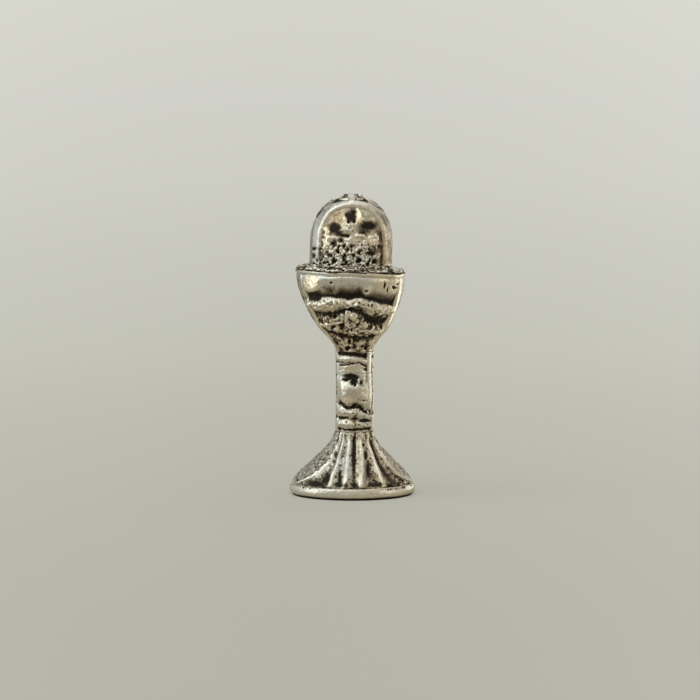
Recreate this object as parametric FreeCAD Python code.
import FreeCAD, Part
import math
import os

from FreeCAD import Vector

# Standing ciborium: a lidded cup on a tall stem and a wide ribbed foot.
# The foot, stem and cup are clamped by one tie rod, from a boss under the cup down to a nut
# inside the hollow foot. The lid is a separate assembly that rests on the cup's rim.
# Millimetres, +Z up, origin at the centre of the foot's resting plane, -Y is the front.
# Every profile is a list of (radius, z) points.

os.makedirs("parts", exist_ok=True)

# ------------------------------------------------------------------ shared dimensions
FRONT = -90.0              # angle about Z from +X to the front, degrees
SIDES = (0.0, 180.0)       # turns that put a front feature at the front and at the back

FOOT_TOP_Z = 52.9          # seat of the stem on the foot's crown
CROWN_UNDER_Z = 49.4       # underside of that crown
ROD_R = 3.0                # M6 tie rod
ROD_CLEAR_R = ROD_R + 0.2
TUBE_R = 6.0               # spacer tube inside the stem
TUBE_BORE_R = TUBE_R + 0.05    # bore of everything threaded over the tube
TUBE_Z0, TUBE_Z1 = 51.5, 121.0
TUBE_END_GAP = 0.1         # gap between each tube end and the bottom of its counterbore
LINER_BASE_Z = 133.0       # the cup boss carries the bowl liner here
CALYX_TOP_Z = 183.0
LINER_TOP_Z = 184.0
RIM_TOP_Z = 186.4          # lid seat


# ------------------------------------------------------------------ helpers
def at(radius, z):
    return Vector(radius, 0, z)


def spline(points):
    curve = Part.BSplineCurve()
    curve.interpolate([at(*point) for point in points])
    return curve.toShape()


def lines(points):
    return [Part.makeLine(at(*a), at(*b)) for a, b in zip(points, points[1:])]


def face_of(edges):
    return Part.Face(Part.Wire(Part.__sortEdges__(edges)))


def turned(edges, angle=360.0):
    """A solid of revolution about Z, starting from a closed section in the XZ plane."""
    solid = face_of(edges).revolve(Vector(0, 0, 0), Vector(0, 0, 1), angle)
    if solid.Volume < 0:
        solid.reverse()
    return solid


def turned_polygon(points):
    return turned(lines(points + points[:1]))


def turned_profile(profile, corners, angle=360.0):
    """Turns a smooth profile closed by straight lines through the corners."""
    return turned([spline(profile)] + lines([profile[-1], *corners, profile[0]]), angle)


def filled(profile):
    """A smooth turned solid, filled in to the axis."""
    return turned_profile(profile, [(0, profile[-1][1]), (0, profile[0][1])])


def bored(profile, bore):
    return turned_profile(profile, [(bore, profile[-1][1]), (bore, profile[0][1])])


def wall_section(outer, inner, end_corners=(), start_corners=()):
    """Edges of a wall between two smooth profiles, joined by lines at their two ends."""
    return ([spline(outer)] + lines([outer[-1], *end_corners, inner[-1]])
            + [spline(inner)] + lines([inner[0], *start_corners, outer[0]]))


def offset(profile, distance):
    """The profile moved towards the axis along its own normals (outwards if negative)."""
    moved = []
    for i, (radius, z) in enumerate(profile):
        before, after = profile[max(i - 1, 0)], profile[min(i + 1, len(profile) - 1)]
        run, rise = after[0] - before[0], after[1] - before[1]
        length = math.hypot(run, rise)
        moved.append((radius - distance * rise / length, z + distance * run / length))
    return moved


def cylinder(radius, z0, z1):
    return Part.makeCylinder(radius, z1 - z0, Vector(0, 0, z0))


def tube(inner_r, outer_r, z0, z1):
    return cylinder(outer_r, z0, z1).cut(cylinder(inner_r, z0, z1))


def prism(points, direction):
    return Part.Face(Part.makePolygon(points + points[:1])).extrude(direction)


def hex_nut(across_flats, height, z0, bore):
    """A hexagonal nut with its corners chamfered at both ends."""
    corner_r = across_flats / math.sqrt(3)
    flat_r, outside_r = across_flats / 2 - 0.1, corner_r + 0.2
    chamfer_h = 0.9
    z1 = z0 + height
    angles = [math.radians(60 * i) for i in range(6)]
    body = prism([Vector(corner_r * math.cos(a), corner_r * math.sin(a), z0) for a in angles],
                 Vector(0, 0, height))
    envelope = turned_polygon([(0, z0), (flat_r, z0), (outside_r, z0 + chamfer_h),
                               (outside_r, z1 - chamfer_h), (flat_r, z1), (0, z1)])
    return body.common(envelope).cut(cylinder(bore, z0 - 1, z1 + 1))


def about_z(shape, degrees):
    turned_copy = shape.copy()
    turned_copy.rotate(Vector(0, 0, 0), Vector(0, 0, 1), degrees)
    return turned_copy


def spine_rib(profile, lift, width):
    """A rib standing proud of a turned profile, lying in the +X half plane."""
    bury = 0.9             # depth of the rib's root below the profile
    face = face_of(wall_section(offset(profile, -lift), offset(profile, bury)))
    face.translate(Vector(0, -width / 2, 0))
    return face.extrude(Vector(0, width, 0))


def compound(shapes):
    return Part.makeCompound([solid for shape in shapes for solid in shape.Solids])


def front_and_back(shape):
    return compound([about_z(shape, side) for side in SIDES])


# ------------------------------------------------------------------ foot
FOOT_RIM_H = 9.4           # height of the moulding that the vessel stands on
FOOT_RIM_IN = 46.5         # inside radius of that moulding
FOOT_RIM_EDGE = [(50.4, 0.0), (51.7, 1.8), (52.1, 4.6), (51.6, 7.6), (50.3, FOOT_RIM_H)]
FOOT_WALL = 2.7
LIP_OUT, LIP_IN = 46.4, 44.6   # locating lip that drops inside the rim moulding
LIP_Z, LIP_TOP_Z = 5.0, 12.6
CROWN_UNDER_R = 13.0
FOOT_OUT = [(50.3, FOOT_RIM_H), (49.9, 11.3), (47.2, 15.5), (43.6, 19.6), (39.3, 23.8),
            (35.1, 27.9), (30.9, 32.1), (26.6, 36.3), (22.7, 40.4), (19.7, 44.6), (17.7, 48.7),
            (16.2, FOOT_TOP_Z)]
FOOT_RIB_AZIMUTHS = (9.0, 28.0, 52.0)   # each side of the front and back centre lines, degrees
FOOT_RIB_H = 1.6
FOOT_RIB_W = 3.2


def foot_rim():
    return turned_profile(FOOT_RIM_EDGE, [(FOOT_RIM_IN, FOOT_RIM_H), (FOOT_RIM_IN, 0.0)])


def foot_shell():
    # inner points at or below z 13.6 would crowd the top of the lip
    inner = [(LIP_IN, LIP_TOP_Z)]
    inner += [point for point in offset(FOOT_OUT, FOOT_WALL)[:-1] if point[1] > 13.6]
    shell = turned(wall_section(
        FOOT_OUT, inner,
        end_corners=[(ROD_CLEAR_R, FOOT_TOP_Z), (ROD_CLEAR_R, CROWN_UNDER_Z),
                     (CROWN_UNDER_R, CROWN_UNDER_Z)],
        start_corners=[(LIP_IN, LIP_Z), (LIP_OUT, LIP_Z), (LIP_OUT, FOOT_RIM_H)]))
    # counterbore for the end of the spacer tube
    shell = shell.cut(cylinder(TUBE_BORE_R, TUBE_Z0 - TUBE_END_GAP, FOOT_TOP_Z + 1.0))
    rib = spine_rib(FOOT_OUT[1:-1], FOOT_RIB_H, FOOT_RIB_W)
    ribs = [about_z(rib, FRONT + hand * azimuth + side)
            for side in SIDES for azimuth in FOOT_RIB_AZIMUTHS for hand in (1, -1)]
    return shell.multiFuse(ribs).removeSplitter()


# ------------------------------------------------------------------ tie rod and its fastenings
ROD_Z0, ROD_Z1 = 38.0, 129.4
ROD_CHAMFER = 0.5
WASHER_R, WASHER_T = 12.0, 2.0
WASHER_BEVEL_W, WASHER_BEVEL_H = 2.5, 1.1   # bevel round the washer's lower edge
LOCK_WASHER_R, LOCK_WASHER_T = 5.6, 1.4
NUT_ACROSS_FLATS, NUT_H = 10.0, 5.0
# stacked downwards from the underside of the crown
WASHER_Z0 = CROWN_UNDER_Z - WASHER_T
LOCK_WASHER_Z0 = WASHER_Z0 - LOCK_WASHER_T
NUT_Z0 = LOCK_WASHER_Z0 - NUT_H


def tie_rod():
    rod = cylinder(ROD_R, ROD_Z0, ROD_Z1)
    end_edges = [edge for edge in rod.Edges if abs(edge.BoundBox.ZLength) < 1e-6]
    return rod.makeChamfer(ROD_CHAMFER, end_edges)


def clamp_washer():
    return turned_polygon([(ROD_CLEAR_R, WASHER_Z0), (WASHER_R - WASHER_BEVEL_W, WASHER_Z0),
                           (WASHER_R, WASHER_Z0 + WASHER_BEVEL_H), (WASHER_R, CROWN_UNDER_Z),
                           (ROD_CLEAR_R, CROWN_UNDER_Z)])


def lock_washer():
    return tube(ROD_CLEAR_R, LOCK_WASHER_R, LOCK_WASHER_Z0, WASHER_Z0)


def tie_nut():
    return hex_nut(NUT_ACROSS_FLATS, NUT_H, NUT_Z0, ROD_R)


# ------------------------------------------------------------------ stem
LOWER_COLLAR = [(14.4, FOOT_TOP_Z), (14.4, 54.9), (16.0, 57.3), (16.0, 60.2), (14.1, 62.2),
                (14.1, 63.5), (15.8, 65.6), (15.8, 68.4), (14.4, 70.5)]
KNOP = [LOWER_COLLAR[-1], (15.4, 73.5), (15.8, 79.0), (15.8, 92.0), (15.4, 98.0), (14.4, 101.5)]
KNOP_WEB_Z = 73.5          # top of the web that closes the hollow knop below
KNOP_BORE_R = 12.4         # bore above the web
CUSHION = [(15.2, 74.0), (16.4, 76.2), (17.2, 80.5), (17.5, 85.0), (17.2, 89.5), (16.4, 93.8),
           (15.2, 96.0)]
CUSHION_ROOT_R = 15.0
CUSHION_HALF_AZIMUTH = 42.0
UPPER_COLLAR = [KNOP[-1], (14.0, 104.0), (14.4, 106.2), (15.8, 107.7), (15.8, 109.3),
                (14.8, 110.7), (15.9, 112.2), (16.1, 114.2), (15.6, 116.0), (14.7, 117.4),
                (15.0, 119.4)]


def stem_tube():
    return tube(ROD_CLEAR_R, TUBE_R, TUBE_Z0, TUBE_Z1)


def lower_collar():
    return bored(LOWER_COLLAR, TUBE_BORE_R)


def upper_collar():
    return bored(UPPER_COLLAR, TUBE_BORE_R)


def knop():
    return turned_profile(KNOP, [(KNOP_BORE_R, KNOP[-1][1]), (KNOP_BORE_R, KNOP_WEB_Z),
                                 (TUBE_BORE_R, KNOP_WEB_Z), (TUBE_BORE_R, KNOP[0][1])])


def knop_cushions():
    """Raised pads lying on the front and the back of the knop."""
    corners = [(CUSHION_ROOT_R, CUSHION[-1][1]), (CUSHION_ROOT_R, CUSHION[0][1])]
    cushion = turned_profile(CUSHION, corners, 2 * CUSHION_HALF_AZIMUTH)
    knop_solid = filled(KNOP)
    return compound([about_z(cushion, FRONT - CUSHION_HALF_AZIMUTH + side).cut(knop_solid)
                     for side in SIDES])


# ------------------------------------------------------------------ cup
CALYX_BASE_Z = UPPER_COLLAR[-1][1]
CALYX_FLOOR_Z = 123.4      # inside floor of the calyx
CALYX_HOLE_R = 5.0         # hole through that floor
CALYX_OUT = [(16.6, CALYX_BASE_Z), (17.6, 122.0), (19.6, 126.0), (21.4, 130.0), (23.4, 133.4),
             (27.6, 137.0), (30.5, 140.5), (32.7, 144.0), (33.8, 147.5), (34.4, 151.3),
             (37.2, 155.0), (39.8, 158.5), (41.2, 162.0), (41.0, 165.0), (40.9, 167.6),
             (42.2, 170.5), (44.0, 173.5), (45.0, 178.0), (45.2, CALYX_TOP_Z)]
CALYX_IN = [(14.0, CALYX_FLOOR_Z), (15.6, 126.0), (17.8, 130.0), (20.0, 133.4), (23.6, 137.0),
            (26.8, 140.5), (29.4, 144.0), (31.0, 147.5), (32.2, 151.3), (34.6, 155.0),
            (36.9, 158.5), (38.2, 162.0), (38.5, 165.0), (38.6, 167.6), (39.6, 170.5),
            (40.8, 173.5), (41.5, 178.0), (41.6, CALYX_TOP_Z)]
RIDGE_AZIMUTH = 62.0       # upright ridges, each side of the front and back centre lines
RIDGE_H, RIDGE_W = 0.9, 1.8

BOSS_R = 9.0
SPIGOT_R = 4.9
SPIGOT_GAP = 0.2           # gap between the boss's spigot and the spacer tube
BOSS_HOLE_TOP_Z = 130.0

LINER_OUT = [(10.0, LINER_BASE_Z), (17.0, 134.8), (23.0, 139.0), (27.6, 144.5), (31.0, 151.0),
             (34.5, 158.0), (37.2, 165.0), (39.3, 172.0), (40.6, 179.0), (40.9, LINER_TOP_Z)]
LINER_T = 1.1

MOUTH_R = 39.9
RIM_STEP_R = 41.7          # step that seats the rim over the top of the liner
RIM_EDGE = [(44.4, CALYX_TOP_Z), (45.5, 183.9), (45.8, 185.1), (45.1, RIM_TOP_Z)]

ORNAMENT_Z = 144.8         # centre of the lozenge pads low on the calyx
ORNAMENT_T = 2.2
# (x, z above the centre)
LOZENGE = [(0, -9.5), (6.2, -3), (6.2, 4), (0, 9.5), (-6.2, 4), (-6.2, -3)]
TO_FRONT = Vector(0, -60, 0)   # extrusion that carries an outline out past the front


def calyx():
    body = turned(wall_section(
        CALYX_OUT, CALYX_IN,
        start_corners=[(CALYX_HOLE_R, CALYX_FLOOR_Z), (CALYX_HOLE_R, CALYX_BASE_Z)]))
    body = body.cut(cylinder(TUBE_BORE_R, CALYX_BASE_Z, TUBE_Z1 + TUBE_END_GAP))
    ridge = spine_rib(CALYX_OUT[9:], RIDGE_H, RIDGE_W)
    # the ridges stop flush with the calyx's top edge
    below_top = cylinder(60, CALYX_TOP_Z - 70, CALYX_TOP_Z)
    ridges = [about_z(ridge, FRONT + hand * RIDGE_AZIMUTH + side).common(below_top)
              for side in SIDES for hand in (1, -1)]
    return body.multiFuse(ridges).removeSplitter()


def cup_boss():
    boss = cylinder(BOSS_R, CALYX_FLOOR_Z, LINER_BASE_Z)
    boss = boss.fuse(cylinder(SPIGOT_R, TUBE_Z1 + SPIGOT_GAP, CALYX_FLOOR_Z))
    return boss.cut(cylinder(ROD_R, TUBE_Z1, BOSS_HOLE_TOP_Z))


def bowl_liner():
    (base_r, base_z), (top_r, top_z) = LINER_OUT[0], LINER_OUT[-1]
    inner = [(base_r, base_z + LINER_T)]
    inner += offset(LINER_OUT, LINER_T)[1:-1]
    inner += [(top_r - LINER_T, top_z)]
    return turned(wall_section(LINER_OUT, inner,
                               start_corners=[(0, base_z + LINER_T), (0, base_z)]))


def cup_rim():
    return turned_profile(RIM_EDGE, [(MOUTH_R, RIM_TOP_Z), (MOUTH_R, LINER_TOP_Z),
                                     (RIM_STEP_R, LINER_TOP_Z), (RIM_STEP_R, CALYX_TOP_Z)])


def calyx_ornaments():
    lozenge = prism([Vector(x, 0, ORNAMENT_Z + z) for x, z in LOZENGE], TO_FRONT)
    pad = filled(offset(CALYX_OUT[2:12], -ORNAMENT_T)).common(lozenge).cut(filled(CALYX_OUT))
    return front_and_back(pad)


# ------------------------------------------------------------------ lid
BEZEL_R, BEZEL_T, BEZEL_Z0 = 39.0, 1.4, 179.6
DOME_BASE_Z = 190.8
DOME_BASE_R = 33.7
DOME_WAIST = (33.9, 200.0)   # point on the upright wall
DOME_R = 34.1
DOME_SPRING_Z = 210.9      # where the upright wall turns into the crown
DOME_TOP_Z = 248.6
DOME_T = 2.1
BRIM_EDGE = [(44.2, RIM_TOP_Z), (44.6, 187.2), (44.0, 188.3)]
BRIM_IN = 30.6
STUD_R, STUD_Z0, STUD_Z1 = 1.5, 240.6, 248.8
STUD_CLEAR_R = STUD_R + 0.1

ARCH_Y = 17.0              # distance of each arched moulding's plane from the axis
ARCH_R = 2.3

PANEL_HALF_W, PANEL_T = 22.5, 1.6
PANEL_Z0, PANEL_SPRING_Z, PANEL_RISE = 194.0, 212.0, 27.0
# openings as seen on the front: (centre x, centre z, half width, half height)
PANEL_OPENINGS = [(0.0, 233.0, 5.0, 5.4), (-15.0, 220.5, 4.4, 6.2), (13.5, 221.5, 7.2, 4.4)]
PANEL_BAND_Z = (191.5, 198.0, 204.0, DOME_SPRING_Z, 216.0, 221.0, 226.0, 231.0, 236.0, 240.0,
                243.0)


def dome_profile(inset):
    """The dome's outline drawn in by the inset: an upright wall, then a quarter ellipse."""
    radius, top = DOME_R - inset, DOME_TOP_Z - inset
    steps = 10
    angles = [math.pi / 2 * i / steps for i in range(1, steps)]
    wall = [(DOME_BASE_R - inset, DOME_BASE_Z), (DOME_WAIST[0] - inset, DOME_WAIST[1]),
            (radius, DOME_SPRING_Z)]
    crown = [(radius * math.cos(a), DOME_SPRING_Z + (top - DOME_SPRING_Z) * math.sin(a))
             for a in angles]
    return wall + crown + [(0.0, top)]


def dome_solid():
    return turned_profile(dome_profile(0), [(0, DOME_BASE_Z)])


def dome_radius(z):
    if z <= DOME_SPRING_Z:
        share = (z - DOME_BASE_Z) / (DOME_SPRING_Z - DOME_BASE_Z)
        return DOME_BASE_R + (DOME_R - DOME_BASE_R) * share
    share = (z - DOME_SPRING_Z) / (DOME_TOP_Z - DOME_SPRING_Z)
    return DOME_R * math.sqrt(max(0.0, 1 - share ** 2))


def lid_brim():
    return turned_profile(BRIM_EDGE, [(DOME_BASE_R + 0.2, DOME_BASE_Z), (BRIM_IN, DOME_BASE_Z),
                                      (BRIM_IN, RIM_TOP_Z)])


def lid_bezel():
    return tube(BEZEL_R - BEZEL_T, BEZEL_R, BEZEL_Z0, RIM_TOP_Z)


def lid_dome():
    dome = turned(wall_section(dome_profile(0), dome_profile(DOME_T)))
    return dome.cut(cylinder(STUD_CLEAR_R, 240, 252))


def lid_arch_mouldings():
    """Round mouldings that follow the dome in a plane in front of and behind the axis."""
    half_span = math.sqrt(DOME_R ** 2 - ARCH_Y ** 2)
    rise = (DOME_TOP_Z - DOME_SPRING_Z) * math.sqrt(1 - (ARCH_Y / DOME_R) ** 2)
    half = []              # (x, z) from the +X foot of the arch to its top
    foot_z = DOME_BASE_Z + 0.1
    for i in range(4):
        z = foot_z + (DOME_SPRING_Z - foot_z) * i / 4
        half.append((math.sqrt(dome_radius(z) ** 2 - ARCH_Y ** 2), z))
    for i in range(9):
        angle = math.pi / 2 * i / 8
        half.append((half_span * math.cos(angle), DOME_SPRING_Z + rise * math.sin(angle)))
    points = [Vector(x, -ARCH_Y, z) for x, z in half]
    points += [Vector(-x, -ARCH_Y, z) for x, z in half[-2::-1]]
    curve = Part.BSplineCurve()
    curve.interpolate(points)
    path = Part.Wire([curve.toShape()])
    start_direction = curve.tangent(curve.FirstParameter)[0]
    section = Part.Wire([Part.makeCircle(ARCH_R, points[0], start_direction)])
    arch = path.makePipeShell([section], True, False)
    arch = arch.cut(dome_solid())
    # trim the feet just above the brim
    arch = arch.common(Part.makeBox(120, 120, 80, Vector(-60, -60, DOME_BASE_Z + 0.02)))
    return front_and_back(arch)


def lid_relief_panels():
    """Pierced arched panels lying on the front and the back of the dome."""
    arc = [Vector(PANEL_HALF_W * math.cos(math.pi * i / 12), 0,
                  PANEL_SPRING_Z + PANEL_RISE * math.sin(math.pi * i / 12)) for i in range(13)]
    left, right = Vector(-PANEL_HALF_W, 0, PANEL_Z0), Vector(PANEL_HALF_W, 0, PANEL_Z0)
    crown = Part.BSplineCurve()
    crown.interpolate(arc)
    outline = Part.Wire([Part.makeLine(left, right), Part.makeLine(right, arc[0]),
                         crown.toShape(), Part.makeLine(arc[-1], left)])
    pierced = Part.Face(outline).extrude(TO_FRONT)
    for x, z, half_w, half_h in PANEL_OPENINGS:
        angles = [2 * math.pi * i / 16 for i in range(16)]
        loop = Part.BSplineCurve()
        loop.interpolate([Vector(x + half_w * math.cos(a), 0, z + half_h * math.sin(a))
                          for a in angles], PeriodicFlag=True)
        pierced = pierced.cut(Part.Face(Part.Wire([loop.toShape()])).extrude(TO_FRONT))
    band = filled(offset([(dome_radius(z), z) for z in PANEL_BAND_Z], -PANEL_T))
    return front_and_back(band.common(pierced).cut(dome_solid()))


# ------------------------------------------------------------------ finial
FINIAL_R, FINIAL_BASE_Z = 9.6, 243.0
FINIAL_EDGE = [(FINIAL_R, 244.6), (9.3, 247.4), (6.8, 249.2), (3.2, 249.8), (0.0, 250.0)]
NOTCH_Z = 247.2            # floor of the notches between the arms
NOTCH = [(3.0, 0), (11.0, 4.6), (11.0, -4.6)]   # (x, y) before turning to the diagonals
FINIAL_WASHER_R, FINIAL_WASHER_T = 4.4, 0.8
FINIAL_WASHER_Z1 = DOME_TOP_Z - DOME_T - 0.35   # just under the dome's inside
FINIAL_WASHER_Z0 = FINIAL_WASHER_Z1 - FINIAL_WASHER_T
FINIAL_NUT_ACROSS_FLATS, FINIAL_NUT_H = 5.5, 2.4


def finial():
    """A low button on a stud, notched on the diagonals to leave four arms."""
    button = turned_profile(FINIAL_EDGE, [(0, FINIAL_BASE_Z), (FINIAL_R, FINIAL_BASE_Z)])
    button = button.cut(dome_solid())
    notch = prism([Vector(x, y, NOTCH_Z) for x, y in NOTCH], Vector(0, 0, 8))
    for i in range(4):
        button = button.cut(about_z(notch, 45.0 + 90.0 * i))
    return button.fuse(cylinder(STUD_R, STUD_Z0, STUD_Z1)).removeSplitter()


def finial_washer():
    return tube(STUD_CLEAR_R, FINIAL_WASHER_R, FINIAL_WASHER_Z0, FINIAL_WASHER_Z1)


def finial_nut():
    return hex_nut(FINIAL_NUT_ACROSS_FLATS, FINIAL_NUT_H, FINIAL_WASHER_Z0 - FINIAL_NUT_H, STUD_R)


# ------------------------------------------------------------------ output
# each piece's file takes the name of the function that builds it
for build in (foot_rim, foot_shell, tie_rod, clamp_washer, lock_washer, tie_nut,
              stem_tube, lower_collar, upper_collar, knop, knop_cushions,
              calyx, cup_boss, bowl_liner, cup_rim, calyx_ornaments,
              lid_brim, lid_bezel, lid_dome, lid_arch_mouldings, lid_relief_panels,
              finial, finial_washer, finial_nut):
    build().exportStep("parts/%s.step" % build.__name__)
